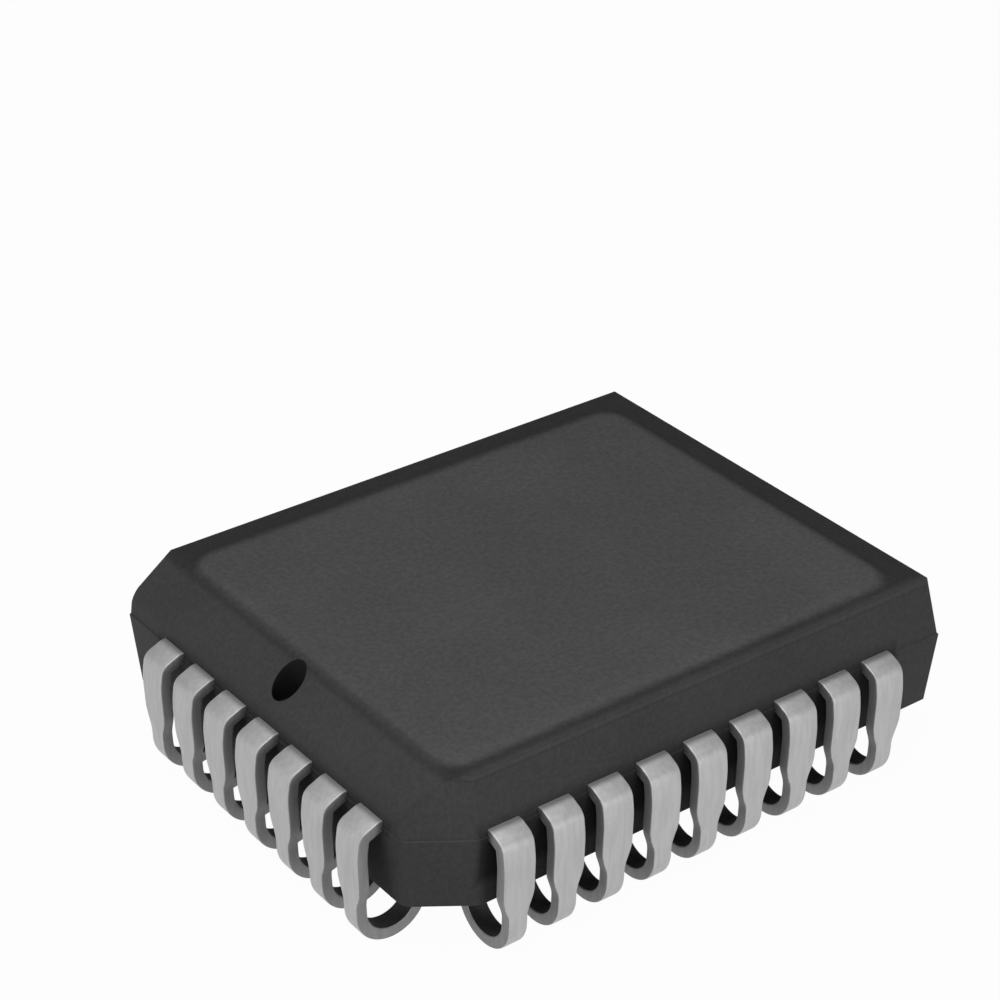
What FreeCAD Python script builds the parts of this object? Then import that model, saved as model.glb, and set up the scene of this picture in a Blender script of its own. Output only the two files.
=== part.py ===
import FreeCAD, Part
import math
import os

# 32-lead plastic J-lead chip carrier with its lead frame, silicon die and bond wires.
# Frame: origin on the seating plane under the centre of the body, X along the long side,
# Y along the short side, Z up. Pin 1 is the middle lead of the -X side. Millimetres.

# Leads: standard pitch, stamped from one flat strip
PITCH = 1.27
LONG_SIDE_LEADS = 9
SHORT_SIDE_LEADS = 7
STRIP = 0.27
LEAD_WIDE = 0.8
LEAD_NARROW = 0.48
LEAD_TOP = 3.18
LEG_OFFSET = 0.52
SHORT_SIDE_EXTRA = 0.08
EXIT_INNER_R = 0.05
SHOULDER_SLANT_DEG = 24.0
SHOULDER_INNER_R = 0.05
LEG_SPLAY_DEG = 8.0
SPLAY_RUN = 0.15
LEG_BEND_R = 2.0
LEG_LEAN_DEG = 2.3
FOOT_INNER_R = 0.61
TIP_GAP = 0.08
TIP_LEAN_DEG = 4.0
BEND_FLAT_DEG = 18.0
TAPER_TOP = 1.62
TAPER_BOTTOM = 1.15

# Leads inside the body: lock barbs, neck and fanned finger
BARB_DEPTH = 0.55
BARB_LONG = 0.3
BARB_OUT = 0.12
NECK_DEPTH = 1.05
NECK_WIDE = 0.46
FINGER_WIDE = 0.4
FINGER_PITCH = 0.78
FINGER_STRAIGHT = 0.5

# Body: two drafted halves of one moulding
BODY_LONG = 13.99
BODY_SHORT = 11.43
BODY_TOP = 4.47
BODY_BOTTOM = 1.28
PARTING_STEP = 0.03
UPPER_DRAFT_DEG = 9.5
PIN1_DRAFT_DEG = 2.0
LOWER_DRAFT_DEG = 4.5
RIM_R = 0.06
CORNER_R = 0.05

# Chamfered corner between the pin-1 side and the -Y side
CHAMFER_ALONG_X = 1.29
CHAMFER_ALONG_Y = 0.9
CHAMFER_DRAFT_DEG = 6.1
CHAMFER_EDGE_R = 0.3

# Pin-1 slope along the whole -X side, with its round blind dimple
SLOPE_DEG = 42.0
SLOPE_WIDE = 0.995
SLOPE_FOOT_R = 0.3
DIMPLE_DIA = 0.75
DIMPLE_FROM_EDGE = 0.565
DIMPLE_COVER = 0.2

# Raised plateau on the top face
PLATEAU_RISE = 0.06
PLATEAU_MARGIN_Y = 0.635
PLATEAU_MARGIN_PIN1 = 1.035
PLATEAU_MARGIN_FAR = 0.695
PLATEAU_FLANK = 0.3
PLATEAU_CORNER_R = 0.7

# Die paddle, pressed down below the fingers, with four tie bars
PADDLE_LONG = 6.8
PADDLE_SHORT = 5.0
PADDLE_DROP = 0.3
TIE_WIDE = 0.3
TIE_ROOT_INSET = 0.2
TIE_END_COVER_X = 0.395
TIE_END_COVER_Y = 0.615
TIE_CORNER_COVER = 0.3
TIE_FLAT = 0.55

# Silicon die on its adhesive layer
DIE_LONG = 5.5
DIE_SHORT = 3.9
DIE_THICK = 0.3
ATTACH_THICK = 0.03
ATTACH_FILLET = 0.08
PAD = 0.1
PAD_RISE = 0.01
PAD_INSET = 0.14
PAD_PITCH = 0.45

# Bond wires
WIRE = 0.033
BALL_DIA = 0.08
BALL_HIGH = 0.025
LOOP_RISE = 0.24
STITCH = 0.14
STITCH_FROM_TIP = 0.3

LEVEL_TOLERANCE = 0.001

# Derived levels and distances
LEAD_UNDER = LEAD_TOP - STRIP
PARTING_Z = LEAD_TOP - STRIP / 2
TOP_Z = BODY_TOP + PLATEAU_RISE
HALF_X = BODY_LONG / 2
HALF_Y = BODY_SHORT / 2
SLOPE_START = HALF_X - SLOPE_WIDE
DIMPLE_X = HALF_X - DIMPLE_FROM_EDGE
PADDLE_TOP = LEAD_TOP - PADDLE_DROP
DIE_UNDER = PADDLE_TOP + ATTACH_THICK
DIE_TOP = DIE_UNDER + DIE_THICK
PAD_TOP = DIE_TOP + PAD_RISE
FINGER_RING_GAP = 0.5
TIE_ROOT_X = PADDLE_LONG / 2 - TIE_ROOT_INSET
TIE_ROOT_Y = PADDLE_SHORT / 2 - TIE_ROOT_INSET
TIE_END_X = HALF_X - TIE_END_COVER_X
TIE_END_Y = HALF_Y - TIE_END_COVER_Y
RING_X = PADDLE_LONG / 2 + FINGER_RING_GAP
RING_Y = PADDLE_SHORT / 2 + FINGER_RING_GAP


def tan_deg(angle):
    return math.tan(math.radians(angle))


def face_of(points):
    return Part.Face(Part.makePolygon(points + points[:1]))


def slab(long, short, thick, z):
    return Part.makeBox(long, short, thick, FreeCAD.Vector(-long / 2, -short / 2, z))


# Body

def drafted_block(low, high, low_z, high_z):
    """Block with flat drafted sides; low and high are (x min, x max, half y) at their heights."""
    block = Part.makeWedge(low[0], low_z, -low[2], -high[2], high[0],
                           low[1], high_z, low[2], high[2], high[1])
    block.rotate(FreeCAD.Vector(0, 0, 0), FreeCAD.Vector(1, 0, 0), 90)
    return block


def corner_line(half_x, half_y):
    """Direction of the cut corner's face and its distance from the centre line, at the parting."""
    length = math.hypot(CHAMFER_ALONG_X, CHAMFER_ALONG_Y)
    nx = CHAMFER_ALONG_Y / length
    ny = CHAMFER_ALONG_X / length
    return nx, ny, nx * half_x + ny * (half_y - CHAMFER_ALONG_Y)


def corner_cutter(half_x, half_y, lean_deg):
    """Block outside the cut corner's face; a positive lean tips the face inwards on the way up."""
    nx, ny, reach = corner_line(half_x, half_y)
    size = BODY_SHORT
    block = Part.makeBox(size, 2 * size, 2 * size, FreeCAD.Vector(0, -size, -size))
    block.rotate(FreeCAD.Vector(0, 0, 0), FreeCAD.Vector(0, 1, 0), -lean_deg)
    block.rotate(FreeCAD.Vector(0, 0, 0), FreeCAD.Vector(0, 0, 1), math.degrees(math.atan2(-ny, -nx)))
    block.translate(FreeCAD.Vector(-nx * reach, -ny * reach, PARTING_Z))
    return block


def upright_edges(solid):
    """Edges that climb: the ones between the side faces, along the slope's ends too."""
    return [edge for edge in solid.Edges if edge.BoundBox.ZLength > LEVEL_TOLERANCE]


def round_upright_edges(solid, cut_corner_r):
    """Nearly sharp square corners and a softer cut corner."""
    soft = [edge for edge in upright_edges(solid) if edge.CenterOfMass.x < 0 and edge.CenterOfMass.y < 0]
    solid = solid.makeFillet(cut_corner_r, soft)
    sharp = [edge for edge in upright_edges(solid) if edge.CenterOfMass.x > 0 or edge.CenterOfMass.y > 0]
    return solid.makeFillet(CORNER_R, sharp)


def lower_half():
    half_x = HALF_X + PARTING_STEP
    half_y = HALF_Y + PARTING_STEP
    inset = (PARTING_Z - BODY_BOTTOM) * tan_deg(LOWER_DRAFT_DEG)
    solid = drafted_block((inset - half_x, half_x - inset, half_y - inset),
                          (-half_x, half_x, half_y), BODY_BOTTOM, PARTING_Z)
    solid = solid.cut(corner_cutter(half_x, half_y, -CHAMFER_DRAFT_DEG))
    return round_upright_edges(solid, CHAMFER_EDGE_R)


def slope_cutter():
    """Wedge above the pin-1 slope; its lower face is the slope."""
    reach = HALF_X + PITCH
    start_z = BODY_TOP
    end_z = BODY_TOP - (reach - SLOPE_START) * tan_deg(SLOPE_DEG)
    profile = face_of([
        FreeCAD.Vector(-SLOPE_START, -BODY_SHORT, start_z),
        FreeCAD.Vector(-reach, -BODY_SHORT, end_z),
        FreeCAD.Vector(-reach, -BODY_SHORT, start_z + PITCH),
        FreeCAD.Vector(-SLOPE_START, -BODY_SHORT, start_z + PITCH),
    ])
    return profile.extrude(FreeCAD.Vector(0, 2 * BODY_SHORT, 0))


def rim_edges(solid):
    """Top edges of the border, except the one along the slope."""
    found = []
    for edge in solid.Edges:
        box = edge.BoundBox
        level = abs(box.ZMin - BODY_TOP) < 1e-4 and abs(box.ZMax - BODY_TOP) < 1e-4
        along_slope = box.XMax < -SLOPE_START + 1e-4
        if level and not along_slope:
            found.append(edge)
    return found


def slope_foot_edges(solid):
    """Long level edge where the slope meets the upright band below it."""
    found = []
    for edge in solid.Edges:
        box = edge.BoundBox
        long = box.YLength > BODY_SHORT / 2
        between = PARTING_Z + RIM_R < box.ZMin and box.ZMax < BODY_TOP - RIM_R
        if long and between and box.XMax < -SLOPE_START:
            found.append(edge)
    return found


def upper_half():
    high = BODY_TOP - PARTING_Z
    inset = high * tan_deg(UPPER_DRAFT_DEG)
    pin1_inset = high * tan_deg(PIN1_DRAFT_DEG)
    solid = drafted_block((-HALF_X, HALF_X, HALF_Y),
                          (pin1_inset - HALF_X, HALF_X - inset, HALF_Y - inset), PARTING_Z, BODY_TOP)
    solid = solid.cut([slope_cutter(), corner_cutter(HALF_X, HALF_Y, UPPER_DRAFT_DEG)])
    band = BODY_TOP - SLOPE_WIDE * tan_deg(SLOPE_DEG) - PARTING_Z - RIM_R
    foot_r = min(SLOPE_FOOT_R, band / tan_deg((90 - PIN1_DRAFT_DEG - SLOPE_DEG) / 2))
    solid = solid.makeFillet(foot_r, slope_foot_edges(solid))
    solid = round_upright_edges(solid, min(CHAMFER_EDGE_R, foot_r))
    return solid.makeFillet(RIM_R, rim_edges(solid))


def rounded_outline(x0, x1, half_y, radius, z):
    """Rounded rectangle from x0 to x1, as a closed wire at height z."""
    base = Part.makePlane(x1 - x0, 2 * half_y, FreeCAD.Vector(x0, -half_y, z))
    block = base.extrude(FreeCAD.Vector(0, 0, 1))
    block = block.makeFillet(radius, upright_edges(block))
    for face in block.Faces:
        if abs(face.BoundBox.ZMax - z) < 1e-6:
            return face.OuterWire
    return None


def plateau():
    pin1 = PLATEAU_MARGIN_PIN1 - HALF_X
    far = HALF_X - PLATEAU_MARGIN_FAR
    half_y = HALF_Y - PLATEAU_MARGIN_Y
    foot = rounded_outline(pin1, far, half_y, PLATEAU_CORNER_R, BODY_TOP)
    top = rounded_outline(pin1 + PLATEAU_FLANK, far - PLATEAU_FLANK, half_y - PLATEAU_FLANK,
                          PLATEAU_CORNER_R - PLATEAU_FLANK / 2, TOP_Z)
    return Part.makeLoft([foot, top], True, True)


def dimple():
    """Blind hole that stops a little above the pin-1 lead."""
    floor = LEAD_TOP + DIMPLE_COVER
    return Part.makeCylinder(DIMPLE_DIA / 2, TOP_Z - floor, FreeCAD.Vector(-DIMPLE_X, 0, floor))


def body_form():
    solid = lower_half().fuse([upper_half(), plateau()])
    return solid.cut(dimple()).removeSplitter()


# Leads

def bend_points(start, heading, radius, sweep):
    """Ends of the narrow flats that make up a clockwise bend, after its start point."""
    centre = (start[0] + radius * math.sin(heading), start[1] - radius * math.cos(heading))
    flats = max(1, round(math.degrees(sweep) / BEND_FLAT_DEG))
    points = []
    for index in range(flats):
        angle = heading - sweep * (index + 1) / flats
        points.append((centre[0] - radius * math.sin(angle), centre[1] + radius * math.cos(angle)))
    return points


def strip_face(start, steps, depth):
    """Points along one face of the strip; depth is 0 on the outer face, STRIP on the inner.

    Each step is a straight run, the inner radius of the bend after it and that bend's angle."""
    points = [(start[0], start[1] - depth)]
    heading = 0.0
    for run, inner_r, sweep in steps:
        if run:
            along, z = points[-1]
            points.append((along + run * math.cos(heading), z + run * math.sin(heading)))
        if sweep:
            points += bend_points(points[-1], heading, inner_r + STRIP - depth, sweep)
            heading -= sweep
    return points


def lead_side_view(wall, offset):
    """Outline of the bent strip from the wall to the tip, seen along the body's side."""
    slant = math.radians(SHOULDER_SLANT_DEG)
    splay = math.radians(LEG_SPLAY_DEG)
    lean = math.radians(LEG_LEAN_DEG)
    tip_lean = math.radians(TIP_LEAN_DEG)
    exit_r = EXIT_INNER_R + STRIP
    shoulder_r = SHOULDER_INNER_R + STRIP
    bend_r = LEG_BEND_R + STRIP
    foot_r = FOOT_INNER_R + STRIP
    slant_run = (offset - exit_r * math.sin(slant) - shoulder_r * (math.cos(splay) - math.sin(slant))
                 - SPLAY_RUN * math.sin(splay) - bend_r * (1 - math.cos(splay))) / math.cos(slant)
    leg_high = (LEAD_TOP - exit_r * (1 - math.cos(slant)) - slant_run * math.sin(slant)
                - shoulder_r * (math.cos(slant) - math.sin(splay)) - SPLAY_RUN * math.cos(splay)
                - bend_r * (math.sin(splay) + math.sin(lean)))
    leg_run = (leg_high - foot_r * (1 - math.sin(lean))) / math.cos(lean)
    tip_run = (BODY_BOTTOM - TIP_GAP - foot_r * (1 + math.sin(tip_lean))) / math.cos(tip_lean)
    quarter = math.radians(90)
    steps = [
        (0, EXIT_INNER_R, slant),
        (slant_run, SHOULDER_INNER_R, quarter - slant - splay),
        (SPLAY_RUN, LEG_BEND_R, splay),
        (0, LEG_BEND_R, lean),
        (leg_run, FOOT_INNER_R, quarter - lean),
        (0, FOOT_INNER_R, quarter + tip_lean),
        (tip_run, 0, 0),
    ]
    start = (wall, LEAD_TOP)
    outline = strip_face(start, steps, 0) + strip_face(start, steps, STRIP)[::-1]
    return face_of([FreeCAD.Vector(0, -along, z) for along, z in outline])


def lead_trim(wall, offset):
    """Blocks that leave only the narrow width on the lower leg and on the whole foot."""
    wide = LEAD_WIDE / 2
    narrow = LEAD_NARROW / 2
    outside = LEAD_WIDE
    low = -STRIP
    front = -wall - offset - STRIP
    foot_middle = wall + offset - FOOT_INNER_R - STRIP
    trims = []
    for side in (-1, 1):
        outline = face_of([FreeCAD.Vector(side * along, front, z) for along, z in (
            (narrow, low), (narrow, TAPER_BOTTOM), (wide, TAPER_TOP), (outside, TAPER_TOP), (outside, low))])
        trims.append(outline.extrude(FreeCAD.Vector(0, -front - foot_middle, 0)))
        inner = Part.makeBox(outside - narrow, FOOT_INNER_R + 2 * STRIP, BODY_BOTTOM - low,
                             FreeCAD.Vector(0, -foot_middle, low))
        inner.translate(FreeCAD.Vector(narrow if side > 0 else -outside, 0, 0))
        trims.append(inner)
    return trims


def lead_finger(wall, ring, place):
    """Flat inner end: barbed root, neck and finger that fans in to the ring round the paddle."""
    at = place * PITCH
    tip = place * FINGER_PITCH
    root = wall - BARB_DEPTH + BARB_LONG / 2
    barb = root - BARB_LONG
    neck = wall - NECK_DEPTH
    finger = ring + FINGER_STRAIGHT
    wide = LEAD_WIDE / 2
    half_neck = NECK_WIDE / 2
    half_finger = FINGER_WIDE / 2
    right = [
        (at + wide, wall), (at + wide, root),
        (at + wide + BARB_OUT, root), (at + wide + BARB_OUT, barb),
        (at + half_neck, barb), (at + half_neck, neck),
        (tip + half_finger, finger), (tip + half_finger, ring),
    ]
    left = [
        (tip - half_finger, ring), (tip - half_finger, finger),
        (at - half_neck, neck), (at - half_neck, barb),
        (at - wide - BARB_OUT, barb), (at - wide - BARB_OUT, root),
        (at - wide, root), (at - wide, wall),
    ]
    points = [FreeCAD.Vector(along, -out, LEAD_UNDER) for along, out in right + left]
    return face_of(points).extrude(FreeCAD.Vector(0, 0, STRIP))


def lead(wall, offset, ring, place):
    """One whole lead that leaves towards -Y, as one piece of bent strip."""
    side_view = lead_side_view(wall, offset)
    side_view.translate(FreeCAD.Vector(-LEAD_WIDE / 2, 0, 0))
    bent = side_view.extrude(FreeCAD.Vector(LEAD_WIDE, 0, 0)).cut(lead_trim(wall, offset))
    bent.translate(FreeCAD.Vector(place * PITCH, 0, 0))
    return bent.fuse(lead_finger(wall, ring, place)).removeSplitter()


def turned(shape, quarter):
    copy = shape.copy()
    copy.rotate(FreeCAD.Vector(0, 0, 0), FreeCAD.Vector(0, 0, 1), 90 * quarter)
    return copy


def places(count):
    return [index - (count - 1) / 2 for index in range(count)]


def sides():
    """The four sides counter-clockwise from -Y: quarter turns, wall, ring, die half size, lead places."""
    long_places = places(LONG_SIDE_LEADS)
    short_places = places(SHORT_SIDE_LEADS)
    step = PARTING_STEP
    return [
        (0, HALF_Y + step, RING_Y, DIE_SHORT / 2, long_places),
        (1, HALF_X + step, RING_X, DIE_LONG / 2, short_places),
        (2, HALF_Y + step, RING_Y, DIE_SHORT / 2, long_places),
        (3, HALF_X + step, RING_X, DIE_LONG / 2, short_places),
    ]


def all_leads():
    """Leads by pin number: pin 1 is the middle of the pin-1 side, counting counter-clockwise."""
    row = []
    for quarter, wall, ring, die_half, spots in sides():
        offset = LEG_OFFSET + (SHORT_SIDE_EXTRA if quarter % 2 else 0)
        for place in spots:
            row.append(turned(lead(wall, offset, ring, place), quarter))
    shift = len(row) - (SHORT_SIDE_LEADS + 1) // 2
    return {pin + 1: row[(shift + pin) % len(row)] for pin in range(len(row))}


# Die paddle with tie bars

def tie_bar(side_x, side_y, end_x, end_y):
    """Bent bar from the paddle's corner up to the finger plane and out towards the body's corner."""
    run = math.hypot(end_x - TIE_ROOT_X, end_y - TIE_ROOT_Y)
    low = PADDLE_TOP
    profile = face_of([
        FreeCAD.Vector(0, 0, low), FreeCAD.Vector(TIE_FLAT, 0, low),
        FreeCAD.Vector(TIE_FLAT + PADDLE_DROP, 0, LEAD_TOP), FreeCAD.Vector(run, 0, LEAD_TOP),
        FreeCAD.Vector(run, 0, LEAD_UNDER), FreeCAD.Vector(TIE_FLAT + PADDLE_DROP, 0, LEAD_UNDER),
        FreeCAD.Vector(TIE_FLAT, 0, low - STRIP), FreeCAD.Vector(0, 0, low - STRIP),
    ])
    profile.translate(FreeCAD.Vector(0, -TIE_WIDE / 2, 0))
    bar = profile.extrude(FreeCAD.Vector(0, TIE_WIDE, 0))
    angle = math.degrees(math.atan2(side_y * (end_y - TIE_ROOT_Y), side_x * (end_x - TIE_ROOT_X)))
    bar.rotate(FreeCAD.Vector(0, 0, 0), FreeCAD.Vector(0, 0, 1), angle)
    bar.translate(FreeCAD.Vector(side_x * TIE_ROOT_X, side_y * TIE_ROOT_Y, 0))
    return bar


def die_paddle():
    plate = slab(PADDLE_LONG, PADDLE_SHORT, STRIP, PADDLE_TOP - STRIP)
    bars = []
    for side_x in (-1, 1):
        for side_y in (-1, 1):
            end_x = TIE_END_X
            end_y = TIE_END_Y
            if side_x < 0 and side_y < 0:
                nx, ny, reach = corner_line(HALF_X, HALF_Y)
                root = nx * TIE_ROOT_X + ny * TIE_ROOT_Y
                full = nx * TIE_END_X + ny * TIE_END_Y
                share = min(1.0, (reach - TIE_CORNER_COVER - root) / (full - root))
                end_x = TIE_ROOT_X + share * (TIE_END_X - TIE_ROOT_X)
                end_y = TIE_ROOT_Y + share * (TIE_END_Y - TIE_ROOT_Y)
            bars.append(tie_bar(side_x, side_y, end_x, end_y))
    return plate.fuse(bars).removeSplitter()


# Die, its adhesive and its wires

def die_attach():
    return slab(DIE_LONG + 2 * ATTACH_FILLET, DIE_SHORT + 2 * ATTACH_FILLET, ATTACH_THICK, PADDLE_TOP)


def silicon_die():
    die = slab(DIE_LONG, DIE_SHORT, DIE_THICK, DIE_UNDER)
    pads = []
    for quarter, wall, ring, die_half, spots in sides():
        for place in spots:
            centre_x = place * PAD_PITCH
            centre_y = -(die_half - PAD_INSET)
            corner = FreeCAD.Vector(centre_x - PAD / 2, centre_y - PAD / 2, DIE_TOP)
            pads.append(turned(Part.makeBox(PAD, PAD, PAD_RISE, corner), quarter))
    return die.fuse(pads)


def level_outline(sides, radius, first_deg, z):
    """Regular outline round the upright axis, with its first corner at the given angle."""
    angles = [math.radians(first_deg + 360 * index / sides) for index in range(sides + 1)]
    return Part.makePolygon([FreeCAD.Vector(radius * math.cos(a), radius * math.sin(a), z) for a in angles])


def bond_wire(start_x, start_y, end_x, end_y):
    """Ball on the die pad, loop and flat stitch on the finger; built along -Y, then swung round."""
    span = math.hypot(end_x - start_x, end_y - start_y)
    half = WIRE / 2
    rise = PAD_TOP + BALL_HIGH
    land = LEAD_TOP + half
    ball = Part.Face(level_outline(6, BALL_DIA / 2, 0, PAD_TOP)).extrude(FreeCAD.Vector(0, 0, BALL_HIGH))
    path = [(0, rise - half), (0, rise + LOOP_RISE), (span - STITCH, land), (span, land)]
    spine = Part.makePolygon([FreeCAD.Vector(0, -out, z) for out, z in path])
    section = level_outline(4, half * math.sqrt(2), 45, rise - half)
    wire = Part.Wire(spine.Edges).makePipeShell([section], True, False, 1).fuse(ball)
    angle = math.degrees(math.atan2(end_y - start_y, end_x - start_x)) + 90
    wire.rotate(FreeCAD.Vector(0, 0, 0), FreeCAD.Vector(0, 0, 1), angle)
    wire.translate(FreeCAD.Vector(start_x, start_y, 0))
    return wire


def wire_set(ring, die_half, spots):
    wires = []
    for place in spots:
        start_y = -(die_half - PAD_INSET)
        end_y = -(ring + STITCH_FROM_TIP)
        wires.append(bond_wire(place * PAD_PITCH, start_y, place * FINGER_PITCH, end_y))
    return wires


def build():
    nodes = {}
    for pin, shape in sorted(all_leads().items()):
        nodes["lead_%02d" % pin] = shape
    nodes["die_paddle"] = die_paddle()
    nodes["die_attach"] = die_attach()
    nodes["silicon_die"] = silicon_die()
    names = ["bond_wires_front", "bond_wires_right", "bond_wires_back", "bond_wires_pin1"]
    loose = []
    for name, (quarter, wall, ring, die_half, spots) in zip(names, sides()):
        wires = [turned(wire, quarter) for wire in wire_set(ring, die_half, spots)]
        loose += wires
        nodes[name] = Part.makeCompound(wires)
    inserts = [shape for name, shape in nodes.items() if not name.startswith("bond_wires")]
    nodes["moulded_body"] = body_form().cut(inserts + loose)
    return nodes


os.makedirs("parts", exist_ok=True)
for node, shape in build().items():
    shape.exportStep("parts/" + node + ".step")
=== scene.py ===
# %% [markdown]
# # A 32-lead plastic memory chip, dressed for the render
# The real part is a bar of black epoxy moulded round a copper frame, with 32 tin-plated leads that
# are bent under the body into a J. Nothing on it moves and nothing is printed on it.
# The CAD model gives the sizes and the inner pieces. Here the body and the leads, all that shows, are
# modelled again with the fine roundings and soft bends that the CAD solids leave out.
# Lengths are written in millimetres and turned into Blender's metres by MM. The origin is on the
# seating plane under the middle of the body, with X along the long side and Z up.

# %% Load the frame
import math

import bmesh
import bpy
from mathutils import Matrix, Vector


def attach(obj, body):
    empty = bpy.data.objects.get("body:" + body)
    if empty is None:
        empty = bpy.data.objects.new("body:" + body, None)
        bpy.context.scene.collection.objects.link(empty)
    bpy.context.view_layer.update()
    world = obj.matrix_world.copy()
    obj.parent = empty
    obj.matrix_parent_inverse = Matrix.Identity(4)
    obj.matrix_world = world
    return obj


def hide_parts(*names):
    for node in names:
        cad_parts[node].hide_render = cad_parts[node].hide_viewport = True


MM = 0.001

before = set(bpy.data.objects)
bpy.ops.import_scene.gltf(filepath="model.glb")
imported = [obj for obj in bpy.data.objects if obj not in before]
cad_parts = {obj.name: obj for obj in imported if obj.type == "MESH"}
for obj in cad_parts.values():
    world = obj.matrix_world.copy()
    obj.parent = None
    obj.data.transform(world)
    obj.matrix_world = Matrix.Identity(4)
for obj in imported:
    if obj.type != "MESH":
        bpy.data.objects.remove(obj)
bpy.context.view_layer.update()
print("CAD nodes:", len(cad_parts))

# %% [markdown]
# ## Camera
# The camera comes first, because every later choice is judged through it. It looks at the corner
# between a long and a short side, 30 degrees down, from far enough away that the sides stay nearly
# parallel. Its three axes are worked out from two angles and a very small roll, so no target object
# or constraint is needed. Two shifts along its own axes set where the chip lies in the picture.
# Angles are written in degrees, and the lens and the sensor in real millimetres.

# %% Place the camera
AZIMUTH, ELEVATION, ROLL = -36.975, 30.037, 0.19
DISTANCE, SHIFT_RIGHT, SHIFT_UP = 63.571, -0.708, 5.396
LENS, SENSOR = 99.8053, 36

azimuth, elevation, roll = (math.radians(angle) for angle in (AZIMUTH, ELEVATION, ROLL))
back = Vector((math.sin(azimuth) * math.cos(elevation),
               -math.cos(azimuth) * math.cos(elevation),
               math.sin(elevation)))
side = Vector((math.cos(azimuth), math.sin(azimuth), 0))
over = back.cross(side)
right = side * math.cos(roll) + over * math.sin(roll)
up = over * math.cos(roll) - side * math.sin(roll)

camera = bpy.data.objects.new("camera", bpy.data.cameras.new("camera"))
camera.matrix_world = (Matrix.Translation((back * DISTANCE + right * SHIFT_RIGHT + up * SHIFT_UP) * MM)
                       @ Matrix((right, up, back)).transposed().to_4x4())
camera.data.lens = LENS
camera.data.sensor_width = SENSOR
camera.data.clip_start = 1 * MM
camera.data.clip_end = 5000 * MM
bpy.context.scene.collection.objects.link(camera)
bpy.context.scene.camera = camera
print("camera", [round(c / MM, 1) for c in camera.matrix_world.translation], "mm")

# %% [markdown]
# ## Sizes that more than one piece needs
# They repeat the CAD source: the height of the parting line between the two mould halves, the body's
# half length and half width, the hair-wide step at the parting, where the long slope of the pin-1
# side meets the top, the dimple in that slope, and the strip that the leads are cut from.

# %% Main sizes
PARTING = 3.045
BODY_BOTTOM, BODY_TOP, PLATEAU_TOP = 1.28, 4.47, 4.53
HALF_X, HALF_Y, LEDGE = 6.995, 5.715, 0.03
WALL_X, WALL_Y = HALF_X + LEDGE, HALF_Y + LEDGE
SLOPE_TOP = -6.0
PIN1_X, DIMPLE_RADIUS, DIMPLE_FLOOR = -6.43, 0.375, 3.38
PITCH, STRIP, WIDE, NARROW, LEAD_TOP = 1.27, 0.27, 0.8, 0.48, 3.18
LEAD_UNDER = LEAD_TOP - STRIP
print("body", 2 * WALL_X, "x", 2 * WALL_Y, "mm, leads", WIDE, "x", STRIP, "mm")

# %% [markdown]
# ## Tools for the materials
# Colours are written as the hex codes that a paint program shows, and one function turns them into
# the linear values that a renderer works with. Another adds any node with its settings, its values
# and its links, so that each material can be read from top to bottom.
# Many zones below use a Map Range node by its socket numbers: 0 is the value, 1 and 2 are the ends of
# the range that it comes from, and 3 and 4 those of the range that it goes to, 0 and 1 if not given.

# %% Colour and node helpers
def metres(lengths):
    return [length * MM for length in lengths]


def srgb(code):
    parts = [int(code[i:i + 2], 16) / 255 for i in (1, 3, 5)]
    return [p / 12.92 if p <= 0.04045 else ((p + 0.055) / 1.055) ** 2.4 for p in parts] + [1]


def new_material(name):
    material = bpy.data.materials.new(name)
    material.use_nodes = True
    return material, material.node_tree, material.node_tree.nodes["Principled BSDF"]


def fill(tree, made, sockets):
    """Give each socket a value, a hex colour, or the output that is linked to it."""
    for name, value in sockets.items():
        if isinstance(value, bpy.types.NodeSocket):
            tree.links.new(value, made.inputs[name])
        else:
            made.inputs[name].default_value = srgb(value) if isinstance(value, str) else value


def node(tree, kind, settings, sockets):
    """Add a node with its settings, values and links, and return its output."""
    made = tree.nodes.new(kind)
    for name, value in settings.items():
        setattr(made, name, value)
    fill(tree, made, sockets)
    return next(output for output in made.outputs if output.enabled)


SMOOTH = {"interpolation_type": "SMOOTHSTEP"}
COLOUR = {"data_type": "RGBA"}
DARKEN = {"data_type": "RGBA", "blend_type": "MULTIPLY"}
TIMES = {"operation": "MULTIPLY"}
LESS = {"operation": "SUBTRACT"}
LARGER = {"operation": "MAXIMUM"}
SIZE_OF = {"operation": "ABSOLUTE"}
LENGTH_OF = {"operation": "LENGTH"}

# %% [markdown]
# ## Mould compound: where its zones lie
# The body is epoxy filled with silica, moulded in a steel tool. The tool is spark-eroded on the
# plateau and smoother round it, so the plateau is a lighter, speckled grey inside a dark border. The
# zones could be painted on an unwrapped mesh. They are drawn by position instead, from the object
# coordinates, so they need no seams or images and keep their place in every view.
# First comes the plateau: a rounded rectangle, made by measuring how far a point lies outside
# a smaller, sharp one. It has no limit in height. Its middle is shifted towards the front and pin-1
# sides, so the lighter tone reaches over the near flanks and stops short of the far ones: that shift
# is painted light on the near flanks and painted shade on the far ones.

# %% Plateau zone
# the shifted middle paints light on the plateau's near flanks and shade on its far flanks
PATCH_MIDDLE, PATCH_HALF, PATCH_EDGE = (0.01, -0.21, 0), (5.42, 4.34, 1000), (0.42, 0.76)

compound, tree, shader = new_material("black_epoxy_mould_compound")
position = tree.nodes.new("ShaderNodeTexCoord").outputs["Object"]
axes = node(tree, "ShaderNodeSeparateXYZ", {}, {0: position}).node.outputs

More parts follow.
